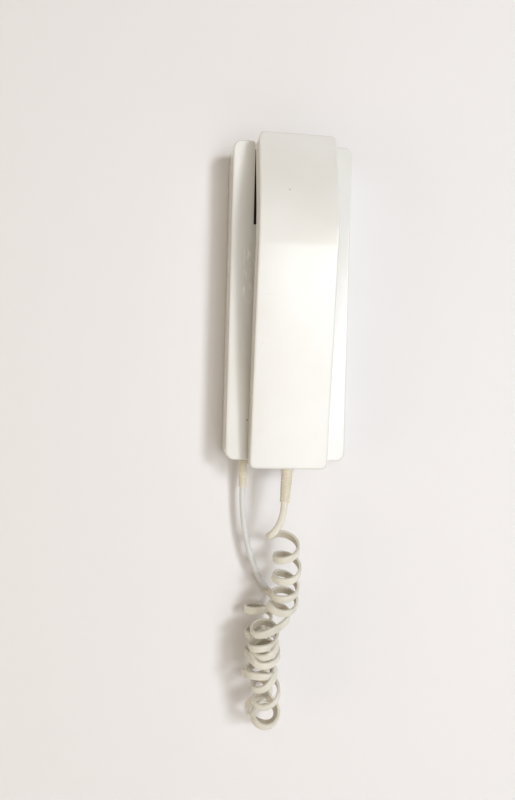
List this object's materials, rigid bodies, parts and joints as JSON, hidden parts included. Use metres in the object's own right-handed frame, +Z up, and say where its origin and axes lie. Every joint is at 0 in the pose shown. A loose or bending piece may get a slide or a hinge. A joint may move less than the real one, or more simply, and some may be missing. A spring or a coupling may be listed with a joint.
{
  "type": "wall telephone",
  "caption": "Slim wall telephone: flat base, arched handset hanging on a cradle hook over a sprung hook switch, curly cord between them.",
  "frame": {"origin": "centre of the base's back face, on the wall", "axes": "+X right, +Z up, +Y into the wall; the telephone stands out from the wall along -Y"},
  "size_m": [0.076, 0.057, 0.3754],
  "materials": {
    "casing_cream": "moulded, glossy, slightly yellowed",
    "handset_cream": "moulded, glossy, slightly yellowed",
    "inner_plastic": "moulded",
    "boot_beige": "moulded, matt",
    "coil_beige": "smooth, slightly yellowed",
    "lead_white": "smooth, slightly translucent",
    "steel": "zinc plated",
    "brass": "plain",
    "copper": "enamelled wire",
    "board": "phenolic board",
    "black_plastic": "moulded",
    "black_foam": "foam",
    "paper_cone": "pressed paper",
    "magnet": "sintered",
    "felt_grey": "felt",
    "sleeve_blue": "shrink sleeve",
    "wire_red": "sleeved wire",
    "wire_blue": "sleeved wire"
  },
  "bodies": {
    "base": {"back_plate": "inner_plastic", "front_casing": "casing_cream", "cradle_hook": "inner_plastic", "plunger_spring": "steel", "hook_switch_body": "black_plastic", "circuit_board": "board", "terminal_block": "black_plastic", "terminal_screws": "brass", "transformer_core": "steel", "transformer_winding": "copper", "capacitors": "sleeve_blue", "sounder_frame": "steel", "sounder_cone": "paper_cone", "sounder_magnet": "magnet", "sounder_wires": "wire_red", "casing_screws": "steel", "board_screws": "steel", "rest_pads": "felt_grey", "base_boot": "boot_beige", "base_lead": "lead_white", "base_coil": "coil_beige"},
    "plunger": {"hook_plunger": "inner_plastic"},
    "lever": {"hook_switch_lever": "brass"},
    "handset": {"handset_front_shell": "handset_cream", "handset_rear_shell": "handset_cream", "receiver_capsule": "black_plastic", "receiver_seal": "black_foam", "microphone_capsule": "steel", "microphone_holder": "black_foam", "ballast_weight": "steel", "handset_board": "board", "handset_screws": "steel", "receiver_wires": "wire_red", "microphone_wires": "wire_blue", "handset_boot": "boot_beige", "handset_lead": "coil_beige", "handset_coil": "coil_beige"}
  },
  "joints": [
    {"name": "handset_lift", "type": "slide", "parent": "base", "child": "handset", "axis": [0, -0.8192, 0.5736], "range_m": [0, 0.075]},
    {"name": "plunger_slide", "type": "slide", "parent": "base", "child": "plunger", "axis": [0, -1, 0], "range_m": [0, 0.0036], "deforming": ["plunger_spring"]},
    {"name": "lever_swing", "type": "hinge", "parent": "base", "child": "lever", "pos_m": [0, -0.02, -0.05], "axis": [-1, 0, 0], "range_deg": [0, 14.5]}
  ],
  "couplings": [
    {"joint": "plunger_slide", "follows": "handset_lift", "ratio": 0.046667},
    {"joint": "lever_swing", "follows": "handset_lift", "rad_per_m": 3.3333}
  ]
}
